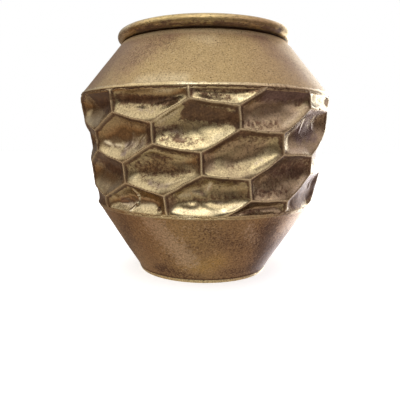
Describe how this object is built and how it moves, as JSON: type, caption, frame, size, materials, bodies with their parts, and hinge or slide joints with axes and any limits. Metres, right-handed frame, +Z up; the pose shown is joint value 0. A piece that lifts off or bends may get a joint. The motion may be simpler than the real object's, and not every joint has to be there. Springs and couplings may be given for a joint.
{
  "type": "planter pot",
  "caption": "Open brass planter pot with a rolled rim, a sloping shoulder, a pressed band of dished honeycomb cells between raised seams, and a cone that narrows to a foot ring.",
  "frame": {"origin": "centre of the underside, on the pot's axis", "axes": "+Z up the pot's axis, -Y the front, +Y the side with the band's upright joint"},
  "size_m": [0.3017, 0.3018, 0.29],
  "materials": {
    "sheet_brass": "satin, antiqued, fine speckle",
    "band_brass": "dark patina in the hollows, polished on the ribs",
    "rim_brass": "satin, worn bright on top",
    "seam_braze": "filed, bright",
    "wire_steel": "drawn"
  },
  "bodies": {
    "root": {"rim_bead": "rim_brass", "rim_wire": "wire_steel", "neck_collar": "rim_brass", "neck_solder": "seam_braze", "shoulder_cone": "sheet_brass", "upper_seam": "seam_braze", "honeycomb_band": "band_brass", "band_strap": "seam_braze", "lower_seam": "seam_braze", "lower_cone": "sheet_brass", "foot_ring": "seam_braze", "base_plate": "sheet_brass", "base_solder": "seam_braze"}
  },
  "joints": []
}
